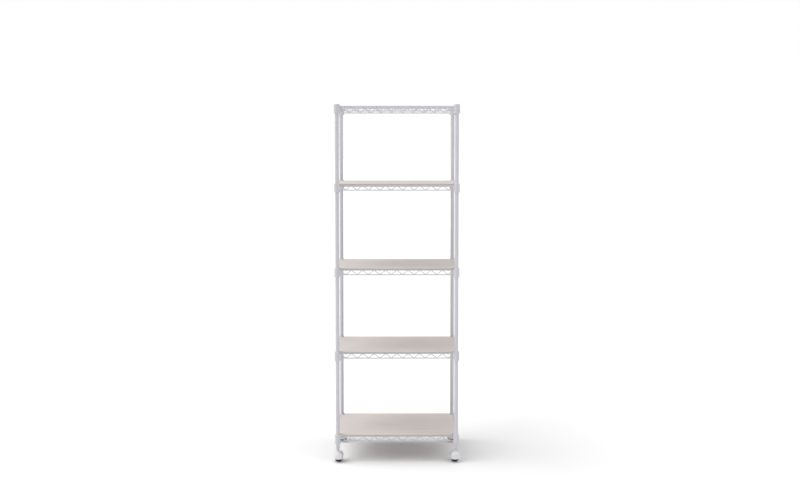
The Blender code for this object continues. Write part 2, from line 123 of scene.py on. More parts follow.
class RackWireSettings(bpy.types.PropertyGroup):
    """Wire sizes of the welded shelves."""
    rail_diameter: FloatProperty(
        name="Rail diameter", description="Top and bottom rail of each side",
        default=0.0055, unit='LENGTH')
    truss_diameter: FloatProperty(
        name="Zig-zag diameter", description="Bent wire between the two rails",
        default=0.0042, unit='LENGTH')
    truss_bend: FloatProperty(
        name="Zig-zag bend", description="Bend radius of the zig-zag, to the wire's middle",
        default=0.0032, unit='LENGTH')
    mat_diameter: FloatProperty(
        name="Mat wire diameter", description="Long wires that carry the load",
        default=0.0030, unit='LENGTH')
    truss_sink: FloatProperty(
        name="Zig-zag sink", description="How far the zig-zag's bends are welded into the rails",
        default=0.0009, unit='LENGTH')
    mat_drop: FloatProperty(
        name="Mat wire drop", description="Middle of the mat wires below the rails' middle",
        default=0.0009, unit='LENGTH')
    rod_diameter: FloatProperty(
        name="Cross rod diameter", description="Rods under the mat wires",
        default=0.0045, unit='LENGTH')
    rod_drop: FloatProperty(
        name="Cross rod drop", description="Middle of the cross rods below the rails' middle",
        default=0.0046, unit='LENGTH')
    sides: IntProperty(
        name="Steps round", description="Steps round a wire", default=12, min=6)


class RackBoardSettings(bpy.types.PropertyGroup):
    """The loose boards."""
    edge_radius: FloatProperty(
        name="Edge radius", description="Rounding of the board's arrises",
        default=0.0007, unit='LENGTH')
    notch_steps: IntProperty(
        name="Notch steps", description="Steps of a corner notch", default=20, min=4)


class RackCasterSettings(bpy.types.PropertyGroup):
    """Hood and wheels of the twin-wheel casters."""
    crest_radius: FloatProperty(
        name="Crest radius", description="The hood's skin over the wheels, from the axle",
        default=0.0283, unit='LENGTH')
    nose: FloatProperty(
        name="Nose", description="How far the hood reaches before the pivot",
        default=0.0135, unit='LENGTH')
    nose_bend: FloatProperty(
        name="Nose bend", description="Rounding from the hood's top to its nose",
        default=0.0165, unit='LENGTH')
    nose_foot: FloatProperty(
        name="Nose foot", description="Height of the nose's lower edge above the floor",
        default=0.0195, unit='LENGTH')
    tail_foot: FloatProperty(
        name="Tail foot", description="Height of the tail's lower edge above the floor",
        default=0.0170, unit='LENGTH')
    boss_radius: FloatProperty(
        name="Boss radius", description="Round boss under the stem", default=0.0085, unit='LENGTH')
    crown_half_width: FloatProperty(
        name="Crown half width", description="Half width of the ellipse that rounds the hood",
        default=0.0222, unit='LENGTH')
    crown_height: FloatProperty(
        name="Crown height", description="Height of the ellipse that rounds the hood",
        default=0.0160, unit='LENGTH')
    rim_half_width: FloatProperty(
        name="Rim half width", description="Half width of the hood at its side rims",
        default=0.0207, unit='LENGTH')
    shell: FloatProperty(
        name="Shell", description="Wall of the hood over the wheels", default=0.0019, unit='LENGTH')
    wheel_gap: FloatProperty(
        name="Wheel gap", description="Clearance between hood and tyre",
        default=0.0011, unit='LENGTH')
    web: FloatProperty(
        name="Web", description="Thickness of the web between the wheels",
        default=0.0070, unit='LENGTH')
    hub_radius: FloatProperty(
        name="Hub radius", description="Radius at which tyre and hub meet",
        default=0.0146, unit='LENGTH')
    hub_face: FloatProperty(
        name="Hub face", description="Distance of the hubs' outer faces from the web's middle",
        default=0.0200, unit='LENGTH')
    tyre_shoulder: FloatProperty(
        name="Tyre shoulder", description="Distance of the tyres' shoulders from the web's middle",
        default=0.0188, unit='LENGTH')


class RackFinishSettings(bpy.types.PropertyGroup):
    """Colours of the finishes, in linear values."""
    coat: FloatVectorProperty(
        name="Powder coat", description="Posts and wire shelves", subtype='COLOR', size=3,
        default=(0.620, 0.616, 0.650))
    plastic: FloatVectorProperty(
        name="White plastic", description="Sleeves, caps, hoods and hubs", subtype='COLOR', size=3,
        default=(0.790, 0.786, 0.815))
    board: FloatVectorProperty(
        name="Board", description="Greige face of the boards", subtype='COLOR', size=3,
        default=(0.720, 0.662, 0.634))
    # The edge colour is darker than the board's face: painted shade on the boards' edges
    edge_colour_with_shade: FloatVectorProperty(
        name="Board edge", description="Edge band of the boards", subtype='COLOR', size=3,
        default=(0.590, 0.528, 0.498))
    tyre: FloatVectorProperty(
        name="Tyre", description="Rubber of the wheels", subtype='COLOR', size=3,
        default=(0.020, 0.020, 0.021))
    steel: FloatVectorProperty(
        name="Plated steel", description="Stems and axles", subtype='COLOR', size=3,
        default=(0.600, 0.600, 0.615))


class RackStageSettings(bpy.types.PropertyGroup):
    """Camera, lights and floor."""
    camera_place: FloatVectorProperty(
        name="Camera place", description="Where the camera stands", subtype='TRANSLATION', size=3,
        unit='LENGTH', default=(0.0, -4.26, 1.579))
    pitch: FloatProperty(
        name="Pitch", description="How far the camera looks down", subtype='ANGLE', default=0.04392)
    yaw: FloatProperty(
        name="Yaw", description="How far the camera looks to the right", subtype='ANGLE',
        default=0.00363)
    lens: FloatProperty(
        name="Lens", description="Focal length in millimetres", default=51.843)
    frame_height: FloatProperty(
        name="Frame height", description="Height of the camera's sensor in millimetres", default=30.0)
    shift: FloatProperty(
        name="Shift", description="Vertical lens shift in frame heights", default=-0.14545)
    backdrop: FloatProperty(
        name="Backdrop", description="Brightness of the surround as the camera sees it", default=1.0)
    sky: FloatProperty(
        name="Sky", description="Strength of the light from the surround", default=0.36)
    key: FloatProperty(
        name="Key light", description="Strength of the soft light from the left", default=2.0)
    fill: FloatProperty(
        name="Fill light", description="Strength of the soft light from the right", default=0.75)
    top: FloatProperty(
        name="Top light", description="Strength of the soft light from above and behind", default=0.5)
    spread: FloatProperty(
        name="Light spread", description="Angle that each soft light fills",
        subtype='ANGLE', default=math.radians(55.0))
    floor_reach: FloatProperty(
        name="Floor reach", description="Distance from the middle of the floor to its sides",
        default=60.0, unit='LENGTH')
    floor_tone: FloatProperty(
        name="Floor tone", description="How pale the floor is", default=0.95, min=0.0, max=1.0)


# ---------------------------------------------------------------- surfaces

class Surface:
    """Points with four-sided faces and, where it ends, many-sided caps. Faces point outwards."""

    def __init__(self, points, quads, caps=()):
        self.points = np.asarray(points, float).reshape(-1, 3)
        self.quads = np.asarray(quads, int).reshape(-1, 4)
        self.caps = [np.asarray(cap, int) for cap in caps]
        self.face_outwards()

    def face_outwards(self):
        """The enclosed volume is a third of the sum of each face's area vector times its place;
        where it comes out negative, every face is turned round."""
        middle = self.points.mean(0)
        corners = self.points[self.quads] - middle
        area = np.cross(corners[:, 2] - corners[:, 0], corners[:, 3] - corners[:, 1])
        volume = np.sum(area * corners.mean(1))
        for cap in self.caps:
            ring = self.points[cap] - middle
            volume += np.sum(np.cross(ring, np.roll(ring, -1, 0)).sum(0) * ring.mean(0))
        if volume < 0.0:
            self.quads = self.quads[:, ::-1]
            self.caps = [cap[::-1] for cap in self.caps]

    def moved(self, offset):
        """Each point plus an offset."""
        return Surface(self.points + np.asarray(offset), self.quads, self.caps)

    def mapped(self, matrix, offset=(0.0, 0.0, 0.0)):
        """Each point times a 3 x 3 matrix, plus an offset."""
        return Surface(self.points @ np.asarray(matrix).T + np.asarray(offset), self.quads, self.caps)


def grid(points, along=False):
    """Faces between neighbours of a (rows, columns, 3) grid of points. Each row closes on itself.
    The last row meets the first if along is set, and otherwise a cap closes each of them."""
    rows, columns = points.shape[:2]
    index = np.arange(rows * columns).reshape(rows, columns)
    caps = [] if along else [index[0], index[-1][::-1]]
    index = np.hstack([index, index[:, :1]])
    if along:
        index = np.vstack([index, index[:1]])
    quads = np.stack([index[:-1, :-1], index[1:, :-1], index[1:, 1:], index[:-1, 1:]], -1)
    return Surface(points, quads, caps)


def about_axis(profile, turn):
    """Points of a profile of (radius, height) rows at each angle of a turn: point (i, j) is
    radius i times the cosine and sine of angle j, at height i."""
    profile = np.asarray(profile, float)
    points = np.empty((len(profile), len(turn), 3))
    points[..., 0] = profile[:, :1] * np.cos(turn)
    points[..., 1] = profile[:, :1] * np.sin(turn)
    points[..., 2] = profile[:, 1:]
    return points


def turned(profile, steps, closed=False):
    """A profile carried once round Z in even steps."""
    return grid(about_axis(profile, np.arange(steps) * (2.0 * math.pi / steps)), closed)


def tube(path, radius, sides, normal):
    """A round section carried along a flat path: point (i, j) is path point i, plus the radius
    times the cosine of angle j along the path's side direction and its sine along the normal of
    the path's plane. A radius for each path point tapers or rounds the ends."""
    path = np.asarray(path, float)
    normal = np.asarray(normal, float)
    ahead = np.gradient(path, axis=0)
    side = np.cross(ahead, normal)
    side /= np.linalg.norm(side, axis=1, keepdims=True)
    turn = np.arange(sides) * (2.0 * math.pi / sides)
    radius = np.broadcast_to(np.asarray(radius, float), len(path))[:, None, None]
    ring = side[:, None] * np.cos(turn)[None, :, None] + normal * np.sin(turn)[None, :, None]
    return grid(path[:, None] + radius * ring)


def rod(start, end, radius, sides, normal, ease=0.35):
    """A straight wire whose cut ends are eased: over the last share of the radius, the section
    follows a quarter circle of that share."""
    start, end = np.asarray(start, float), np.asarray(end, float)
    turn = np.linspace(0.0, math.pi / 2.0, 4)
    inset = ease * radius * (1.0 - np.cos(turn)) / np.linalg.norm(end - start)
    size = radius * (1.0 - ease * (1.0 - np.sin(turn)))
    share = np.concatenate([inset, 1.0 - inset[::-1]])
    size = np.concatenate([size, size[::-1]])
    return tube(start + share[:, None] * (end - start), size, sides, normal)


def beads(centres, radii, rings=4, sides=8):
    """Small weld beads: each is an ellipsoid whose point (i, j) is its centre plus its three
    radii times the sine and cosine of latitude i and longitude j."""
    latitude = np.linspace(-0.5, 0.5, rings + 2)[1:-1] * math.pi * 0.96
    turn = np.arange(sides) * (2.0 * math.pi / sides)
    ball = np.empty((rings, sides, 3))
    ball[..., 0] = np.cos(latitude)[:, None] * np.cos(turn)
    ball[..., 1] = np.cos(latitude)[:, None] * np.sin(turn)
    ball[..., 2] = np.sin(latitude)[:, None]
    one = grid(ball)
    centres = np.asarray(centres, float).reshape(-1, 3)
    radii = np.broadcast_to(np.asarray(radii, float), centres.shape)
    return [one.mapped(np.diag(size), centre) for centre, size in zip(centres, radii)]


def rounded(corner_points, radius, steps=5):
    """An open line of 2-D points with every inner corner replaced by an arc: the arc's middle
    lies on the corner's bisector, and its ends lie where it touches both sides."""
    points = np.asarray(corner_points, float)
    radius = np.broadcast_to(np.asarray(radius, float), len(points))
    out = [points[:1]]
    for before, corner, after, size in zip(points, points[1:], points[2:], radius[1:]):
        one = (before - corner) / np.linalg.norm(before - corner)
        two = (after - corner) / np.linalg.norm(after - corner)
        half = math.acos(np.clip(one @ two, -1.0, 1.0)) / 2.0
        if size <= 0.0 or half > math.pi / 2.0 - 0.01:
            out.append(corner[None])
            continue
        bisector = (one + two) / np.linalg.norm(one + two)
        middle = corner + bisector * size / math.sin(half)
        first = corner + one * size / math.tan(half) - middle
        last = corner + two * size / math.tan(half) - middle
        sweep = math.atan2(first[0] * last[1] - first[1] * last[0], first @ last)
        turn = np.linspace(0.0, sweep, steps)[:, None]
        across = np.array([-first[1], first[0]])
        out.append(middle + first * np.cos(turn) + across * np.sin(turn))
    out.append(points[-1:])
    return np.vstack(out)


def stepped_in(outline, amount):
    """Each point moved inwards along the mean of its two edges' normals, far enough that both
    edges move by the amount."""
    before = outline - np.roll(outline, 1, 0)
    after = np.roll(outline, -1, 0) - outline
    normals = [np.column_stack([-edge[:, 1], edge[:, 0]]) for edge in (before, after)]
    normals = [normal / np.linalg.norm(normal, axis=1, keepdims=True) for normal in normals]
    mean = normals[0] + normals[1]
    scale = 2.0 / np.maximum(np.sum(mean * mean, 1, keepdims=True), 0.5)
    return outline + mean * scale * amount


def slab(outline, low, high, ease):
    """A flat piece between two levels: ring i is the outline, stepped in by the inset that a
    quarter circle of the ease's radius has at its level."""
    quarter = np.linspace(0.0, math.pi / 2.0, 4)
    inset, rise = ease * (1.0 - np.cos(quarter)), ease * (1.0 - np.sin(quarter))
    insets = np.concatenate([inset[::-1], inset])
    levels = np.concatenate([low + rise[::-1], high - rise])
    return grid(np.stack([np.column_stack([stepped_in(outline, step), np.full(len(outline), level)])
                          for step, level in zip(insets, levels)]))


def shaded(mesh, smooth_below=40.0):
    """The mesh smooth, but sharp where two faces meet at more than an angle in degrees."""
    mesh.shade_smooth()
    mesh.set_sharp_from_angle(angle=math.radians(smooth_below))
    return mesh


def make_mesh(name, surfaces, smooth_below=40.0):
    """All surfaces in one mesh: their points are stacked, and their faces are renumbered."""
    points, loops, totals = [], [], []
    start = 0
    for surface in surfaces:
        points.append(surface.points)
        loops.append(surface.quads.ravel() + start)
        totals.append(np.full(len(surface.quads), 4))
        for cap in surface.caps:
            loops.append(cap + start)
            totals.append(np.array([len(cap)]))
        start += len(surface.points)
    points, loops, totals = np.vstack(points), np.concatenate(loops), np.concatenate(totals)
    mesh = bpy.data.meshes.new(name)
    mesh.vertices.add(len(points))
    mesh.vertices.foreach_set("co", points.ravel().astype(np.float32))
    mesh.loops.add(len(loops))
    mesh.loops.foreach_set("vertex_index", loops.astype(np.int32))
    mesh.polygons.add(len(totals))
    mesh.polygons.foreach_set("loop_start", (np.cumsum(totals) - totals).astype(np.int32))
    mesh.update(calc_edges=True)
    mesh.validate()
    return shaded(mesh, smooth_below)


def add_piece(name, shape, body, finishes, nodes=()):
    """An object at the origin that rides on a body and stands for CAD nodes. Its shape is a mesh,
    or a surface that becomes one."""
    mesh = shape if isinstance(shape, bpy.types.Mesh) else make_mesh(name, [shape])
    for finish in finishes:
        mesh.materials.append(finish)
    piece = bpy.data.objects.new(name, mesh)
    bpy.context.scene.collection.objects.link(piece)
    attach(piece, body)
    if nodes:
        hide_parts(*nodes)
    return piece


def joined(name, solids, cut=()):
    """The mesh of overlapping solids as one skin, with others cut out of it."""
    base = bpy.data.objects.new(name, make_mesh(name, solids[:1]))
    bpy.context.scene.collection.objects.link(base)
    helpers = []
    jobs = [('UNION', solid) for solid in solids[1:]] + [('DIFFERENCE', solid) for solid in cut]
    for operation, solid in jobs:
        helper = bpy.data.objects.new("tool", make_mesh("tool", [solid]))
        bpy.context.scene.collection.objects.link(helper)
        step = base.modifiers.new("step", 'BOOLEAN')
        step.operation = operation
        step.solver = 'EXACT'
        step.object = helper
        helpers.append(helper)
    bpy.context.view_layer.update()
    graph = bpy.context.evaluated_depsgraph_get()
    mesh = bpy.data.meshes.new_from_object(base.evaluated_get(graph), depsgraph=graph)
    for thing in helpers + [base]:
        bpy.data.objects.remove(thing, do_unlink=True)
    if not mesh.polygons:
        raise RuntimeError(f"{name} came out empty")
    return shaded(mesh)


# ---------------------------------------------------------------- finishes

def node(tree, kind, inputs=None, **settings):
    """A shader node with its settings. Each input takes a value, or the output that feeds it."""
    made = tree.nodes.new(kind)
    for key, value in settings.items():
        setattr(made, key, value)
    for key, value in (inputs or {}).items():
        if isinstance(value, bpy.types.NodeSocket):
            tree.links.new(value, made.inputs[key])
        else:
            made.inputs[key].default_value = value
    return made


def noise(tree, place, scale, detail=3.0, roughness=0.5):
    """Noise between 0 and 1, with its scale in cycles for each unit of the coordinates."""
    return node(tree, 'ShaderNodeTexNoise', {
        "Vector": place, "Scale": scale, "Detail": detail, "Roughness": roughness}).outputs["Fac"]


def spread(tree, value, low, high, start=0.3, end=0.7):
    """Maps a noise value onto a range."""
    return node(tree, 'ShaderNodeMapRange', {
        "Value": value, "From Min": start, "From Max": end, "To Min": low, "To Max": high,
    }).outputs["Result"]


def blended(tree, factor, one, two):
    """A colour, or the output that gives one, mixed with a second colour."""
    one = one if isinstance(one, bpy.types.NodeSocket) else (*one, 1.0)
    return node(tree, 'ShaderNodeMix', {"Factor": factor, "A": one, "B": (*two, 1.0)},
                data_type='RGBA').outputs["Result"]


def new_finish(name, metallic=0.0, specular=0.5, coat=0.0, coat_roughness=0.2):
    """A material with its constant values on the shader, and object coordinates to build on."""
    finish = bpy.data.materials.new(name)
    finish.use_nodes = True
    tree = finish.node_tree
    shader = tree.nodes["Principled BSDF"]
    shader.inputs["Metallic"].default_value = metallic
    shader.inputs["Specular IOR Level"].default_value = specular
    shader.inputs["Coat Weight"].default_value = coat
    shader.inputs["Coat Roughness"].default_value = coat_roughness
    place = node(tree, 'ShaderNodeTexCoord').outputs["Object"]
    return finish, tree, shader, place


def stretched(tree, place, scale):
    """Coordinates times a scale of their own for each axis."""
    return node(tree, 'ShaderNodeMapping', {"Vector": place, "Scale": scale}).outputs["Vector"]


def dressed(tree, shader, tone, relief, gloss, depth, strength):
    """Feeds the shader: its colour from the tone, and from the relief its roughness, within the
    gloss's two limits, and its bump, of a depth in metres."""
    tree.links.new(tone, shader.inputs["Base Color"])
    tree.links.new(spread(tree, relief, *gloss), shader.inputs["Roughness"])
    bump = node(tree, 'ShaderNodeBump', {"Height": relief, "Distance": depth, "Strength": strength})
    tree.links.new(bump.outputs["Normal"], shader.inputs["Normal"])


def shade(colour, factor):
    """A colour made darker or paler, no paler than white."""
    return tuple(min(1.0, channel * factor) for channel in colour)


def powder_coat(colour):
    """Baked powder coat: orange peel about 1.5 mm across, slow drift of tone and gloss."""
    finish, tree, shader, place = new_finish("baked_coat", specular=0.5, coat=0.08, coat_roughness=0.25)
    peel = noise(tree, place, 620.0, 2.0, 0.45)
    drift = noise(tree, place, 9.0, 2.0)
    speck = noise(tree, place, 2600.0, 1.0)
    tone = blended(tree, spread(tree, drift, 0.0, 1.0), shade(colour, 0.975), shade(colour, 1.02))
    fleck = blended(tree, spread(tree, speck, 0.0, 0.10, 0.55, 0.8), tone, shade(colour, 0.80))
    dressed(tree, shader, fleck, peel, (0.30, 0.42), 0.00006, 0.8)
    return finish


def moulded_plastic(colour):
    """Moulded nylon: fine spark-eroded grain and faint flow marks."""
    finish, tree, shader, place = new_finish("moulded_plastic", specular=0.45)
    grain = noise(tree, place, 1500.0, 3.0, 0.6)
    flow = noise(tree, stretched(tree, place, (30.0, 30.0, 8.0)), 2.0, 3.0)
    tone = blended(tree, spread(tree, flow, 0.0, 1.0), shade(colour, 0.965), shade(colour, 1.015))
    dressed(tree, shader, tone, grain, (0.40, 0.54), 0.00004, 0.7)
    return finish


def board_face(colour):
    """Foil-faced board: long grain along X in two widths, with sparse short pores."""
    finish, tree, shader, place = new_finish("board_face", specular=0.4, coat=0.05, coat_roughness=0.45)
    warp = noise(tree, stretched(tree, place, (3.0, 9.0, 9.0)), 1.0, 2.0)
    shift = node(tree, 'ShaderNodeCombineXYZ', {"Y": spread(tree, warp, -0.012, 0.012, 0.0, 1.0)})
    bent = node(tree, 'ShaderNodeVectorMath', {0: place, 1: shift.outputs["Vector"]}, operation='ADD')
    bent = bent.outputs["Vector"]
    broad = noise(tree, stretched(tree, bent, (2.5, 55.0, 20.0)), 1.0, 3.0)
    fine = noise(tree, stretched(tree, bent, (9.0, 620.0, 200.0)), 1.0, 4.0, 0.6)
    pores = noise(tree, stretched(tree, bent, (70.0, 1500.0, 400.0)), 1.0, 2.0)
    tone = blended(tree, spread(tree, broad, 0.0, 1.0), shade(colour, 0.955), shade(colour, 1.035))
    tone = blended(tree, spread(tree, fine, 0.0, 0.55, 0.42, 0.72), tone, shade(colour, 0.90))
    tone = blended(tree, spread(tree, pores, 0.0, 0.6, 0.66, 0.78), tone, shade(colour, 0.72))
    dressed(tree, shader, tone, fine, (0.46, 0.60), 0.00004, 0.6)
    return finish


def board_band(colour):
    """The board's edges: a close-grained saw texture over a tone darker than the face, and that darker
    tone is painted shade.
    """
    finish, tree, shader, place = new_finish("board_band", specular=0.35)
    fibre = noise(tree, stretched(tree, place, (160.0, 160.0, 1400.0)), 1.0, 3.0, 0.6)
    # Painted shade: the edge colour sits darker than the face, and the fibre noise varies it as grain
    tone = blended(tree, spread(tree, fibre, 0.0, 1.0), shade(colour, 0.88), shade(colour, 1.06))
    dressed(tree, shader, tone, fibre, (0.55, 0.72), 0.00006, 0.6)
    return finish


def tyre_rubber(colour):
    """Hard rubber: dusty where it runs on the floor, a matt moulded grain elsewhere."""
    finish, tree, shader, place = new_finish("tyre_rubber", specular=0.3)
    grain = noise(tree, place, 900.0, 3.0, 0.6)
    dust = noise(tree, place, 160.0, 4.0, 0.65)
    tone = blended(tree, spread(tree, dust, 0.0, 0.8, 0.45, 0.75), colour, (0.060, 0.058, 0.055))
    dressed(tree, shader, tone, grain, (0.62, 0.80), 0.00010, 0.7)
    return finish


def plated_steel(colour):
    """Zinc-plated steel: fine turning marks round the vertical axis, and cloudy gloss."""
    finish, tree, shader, place = new_finish("plated_steel", metallic=1.0)
    rings = noise(tree, stretched(tree, place, (20.0, 20.0, 5200.0)), 1.0, 2.0)
    cloud = noise(tree, place, 240.0, 3.0)
    tone = blended(tree, spread(tree, cloud, 0.0, 1.0), shade(colour, 0.90), shade(colour, 1.05))
    dressed(tree, shader, tone, rings, (0.22, 0.38), 0.00002, 0.6)
    return finish


def finish_for(kind, context):
    """One material of each kind, made when first asked for."""
    colours = context.scene.rack_finishes
    makers = {
        "baked_coat": (powder_coat, colours.coat),
        "moulded_plastic": (moulded_plastic, colours.plastic),
        "board_face": (board_face, colours.board),
        "board_band": (board_band, colours.edge_colour_with_shade),
        "tyre_rubber": (tyre_rubber, colours.tyre),
        "plated_steel": (plated_steel, colours.steel),
    }
    found = bpy.data.materials.get(kind)
    if found is None:
        maker, colour = makers[kind]
        found = maker(tuple(colour))
    return found


# ---------------------------------------------------------------- posts, caps and sleeves

def grooved_wall(low, high, settings):
    """The outer wall of a post as (radius, height) rows from low to high: the tube's radius,
    less the groove's depth times a raised cosine of the distance from each groove's middle."""
    datum = shelf_height(1) - settings.groove_offset
    pitch, half = settings.groove_pitch, settings.groove_width / 2.0
    first = math.ceil((low + 4.0 * half - datum) / pitch)
    last = math.floor((high - 4.0 * half - datum) / pitch)
    middles = datum + pitch * np.arange(first, last + 1)
    across = half * np.concatenate([[-1.3], np.linspace(-1.0, 1.0, 7), [1.3]])
    heights = (middles[:, None] + across).ravel()
    turn = math.pi * np.clip(across / half, -1.0, 1.0)
    radii = POST_RADIUS - settings.groove_depth * 0.5 * (1.0 + np.cos(turn))
    radii = np.tile(radii, len(middles))
    return np.column_stack([radii, heights])


def lower_post(corner, settings):
    """A tube whose spigot reaches into the upper post: its wall section, up the grooved outside
    and down the inside, is turned about the post's axis."""
    low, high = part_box(f"lower_post_{corner}")
    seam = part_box(f"upper_post_{corner}")[0].z - GAP
    bore = POST_RADIUS - POST_WALL
    spigot = bore - GAP
    ease = POST_WALL * 0.35
    inside = [(POST_RADIUS - ease, seam), (spigot, seam), (spigot, high.z - ease),
              (spigot - ease, high.z), (spigot - SPIGOT_WALL, high.z),
              (spigot - SPIGOT_WALL, seam - SPIGOT_LENGTH), (bore, seam - SPIGOT_LENGTH),
              (bore, low.z + ease), (bore + ease, low.z)]
    outside = [(POST_RADIUS - ease, low.z), (POST_RADIUS, low.z + ease)]
    wall = grooved_wall(low.z, seam, settings)
    profile = np.vstack([outside, wall, [(POST_RADIUS, seam - ease)], inside])
    return turned(profile, settings.sides, closed=True).moved(corner_place(corner))


def upper_post(corner, settings):
    """A tube whose wall section, with its rims eased, is turned about the post's axis."""
    low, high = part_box(f"upper_post_{corner}")
    bore = POST_RADIUS - POST_WALL
    ease = POST_WALL * 0.35
    outside = [(bore, low.z), (POST_RADIUS - ease, low.z), (POST_RADIUS, low.z + ease)]
    wall = grooved_wall(low.z, high.z, settings)
    top = [(POST_RADIUS, high.z - ease), (POST_RADIUS - ease, high.z), (bore, high.z)]
    profile = np.vstack([outside, wall, top])
    return turned(profile, settings.sides, closed=True).moved(corner_place(corner))


def post_cap(corner, settings):
    """A dome that is an ellipse quarter above a straight lip, with a ribbed plug below."""
    low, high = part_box(f"post_cap_{corner}")
    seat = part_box(f"upper_post_{corner}")[1].z + GAP
    plug = POST_RADIUS - POST_WALL - GAP
    ribs = np.linspace(low.z + 0.001, seat - 0.0008, 9)
    waist = plug - 0.0003 * (1.0 - np.cos(np.arange(9) * math.pi)) / 2.0
    quarter = np.linspace(0.0, math.pi / 2.0, 10)[:-1]
    lip = (high.z - seat) * 0.35
    dome = np.column_stack([POST_RADIUS * np.cos(quarter),
                            seat + lip + (high.z - seat - lip) * np.sin(quarter)])
    profile = np.vstack([[(0.0005, low.z), (plug - 0.0008, low.z)], np.column_stack([waist, ribs]),
                         [(plug, seat), (POST_RADIUS - 0.0002, seat), (POST_RADIUS, seat + 0.0003)],
                         dome, [(0.0004, high.z)]])
    return turned(profile, settings.sides).moved(corner_place(corner))


def sleeve(number, corner, settings):
    """A tapered ring with a slit: its closed wall section is carried round the post from one
    edge of the slit to the other."""
    low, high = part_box(f"sleeve_{number}_{corner}")
    place = corner_place(corner)
    inner = POST_RADIUS + GAP
    outer = (high.y - low.y) / 2.0
    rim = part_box(f"shelf_{number}")[1].z + GAP
    rib = (low.z + high.z) / 2.0
    section = [
        (inner, low.z + 0.0004), (inner + 0.0005, low.z), (outer - 0.0004, low.z),
        (outer, low.z + 0.0004), (outer - 0.0005, rim), (outer + 0.0006, rim + 0.0001),
        (outer + 0.0009, rim + 0.0006), (outer + 0.0006, high.z - 0.0006),
        (outer - 0.0003, high.z), (inner + 0.0005, high.z), (inner, high.z - 0.0005),
        (inner, rib + 0.0008), (inner - 0.0002, rib), (inner, rib - 0.0008)]
    slit = 0.0008 / inner
    facing = math.pi if place[0] > 0.0 else 0.0
    turn = facing + np.linspace(slit, 2.0 * math.pi - slit, settings.sides + 1)
    return grid(about_axis(section, turn).swapaxes(0, 1) + place)


class RACK_OT_posts(bpy.types.Operator):
    """Build the grooved tubes of the four posts"""
    bl_idname = "rack.posts"
    bl_label = "Posts"

    def execute(self, context):
        settings = context.scene.rack_posts
        coat = finish_for("baked_coat", context)
        for corner in CORNERS:
            for name, maker in (("lower_post", lower_post), ("upper_post", upper_post)):
                add_piece(f"{name}_tube_{corner}", maker(corner, settings), STAND,
                          [coat], [f"{name}_{corner}"])
        return {'FINISHED'}


class RACK_OT_caps(bpy.types.Operator):
    """Build the domed caps in the tops of the posts"""
    bl_idname = "rack.caps"
    bl_label = "Post caps"

    def execute(self, context):
        settings = context.scene.rack_posts
        plastic = finish_for("moulded_plastic", context)
        for corner in CORNERS:
            add_piece(f"domed_cap_{corner}", post_cap(corner, settings), STAND,
                      [plastic], [f"post_cap_{corner}"])
        return {'FINISHED'}


class RACK_OT_sleeves(bpy.types.Operator):
    """Build the tapered split sleeves between posts and collars"""
    bl_idname = "rack.sleeves"
    bl_label = "Split sleeves"

    def execute(self, context):
        settings = context.scene.rack_posts
        plastic = finish_for("moulded_plastic", context)
        for number in SHELF_NUMBERS:
            for corner in CORNERS:
                add_piece(f"split_sleeve_{number}_{corner}", sleeve(number, corner, settings), STAND,
                          [plastic], [f"sleeve_{number}_{corner}"])
        return {'FINISHED'}


# ---------------------------------------------------------------- shelves

def zigzag(half_length, steps, wires):
    """The bent wire of one side in its own plane, as (along, up) rows about the top rail. Straight
    legs climb and fall at one slope, and each bend is an arc about a point on the bend's middle
    line: the arc's angle runs from minus to plus the slope."""
    step = 2.0 * half_length / steps
    clear = (wires.rail_diameter - wires.truss_diameter) / 2.0
    top, bottom = -clear - wires.truss_sink, -RAIL_SPACING + clear + wires.truss_sink
    bend = wires.truss_bend
    rise = top - bottom
    for _ in range(6):
        slope = math.atan2(rise, step)
        rise = top - bottom + 2.0 * bend * (1.0 / math.cos(slope) - 1.0)
    middle = (top + bottom) / 2.0
    count = np.arange(1, steps)
    sign = np.where(count % 2 == 0, 1.0, -1.0)[:, None]
    angle = np.linspace(-slope, slope, 7)[None, :]
    along = -half_length + step * count[:, None] + bend * np.sin(angle)
    up = middle + sign * (rise / 2.0 - bend / math.cos(slope) + bend * np.cos(angle))
    ends = np.array([[-half_length, top], [half_length, top]])
    return np.vstack([ends[:1], np.column_stack([along.ravel(), up.ravel()]), ends[1:]])


def side_frame(half_length, steps, wires, along_axis, offset):
    """Two rails, the zig-zag and their weld beads on one side of a shelf: points (along, up) of
    the side's own plane lie at the offset from the shelf's middle."""
    other = 1 - along_axis
    normal = np.zeros(3)
    normal[other] = 1.0

    def placed(along, up):
        """Rows of (x, y, z) from distances along the side and heights."""
        points = np.full((len(along), 3), float(offset))
        points[:, along_axis] = along
        points[:, 2] = up
        return points

    rail, truss = wires.rail_diameter / 2.0, wires.truss_diameter / 2.0
    reach = half_length - RAIL_END_TO_POST
    pieces = []
    for up in (0.0, -RAIL_SPACING):
        pieces.append(tube(placed([-reach, reach], [up, up]), rail, wires.sides, normal))
        beads_at = placed([-reach - 0.0004, reach + 0.0004], [up, up])
        size = np.full(3, rail * 1.32)
        size[along_axis] = rail * 0.9
        pieces += beads(beads_at, size, rings=6, sides=12)
    span = half_length - TRUSS_END_TO_POST
    line = zigzag(span, steps, wires)
    pieces.append(tube(placed(line[:, 0], line[:, 1]), truss, wires.sides, normal))
    bends = np.arange(1, steps)
    along = -span + 2.0 * span / steps * bends
    up = np.where(bends % 2 == 0, -rail * 0.95, -RAIL_SPACING + rail * 0.95)
    size = np.array([truss * 0.92, truss * 0.92, truss * 0.62])
    size[along_axis] = truss * 1.9
    pieces += beads(placed(along, up), size)
    return pieces


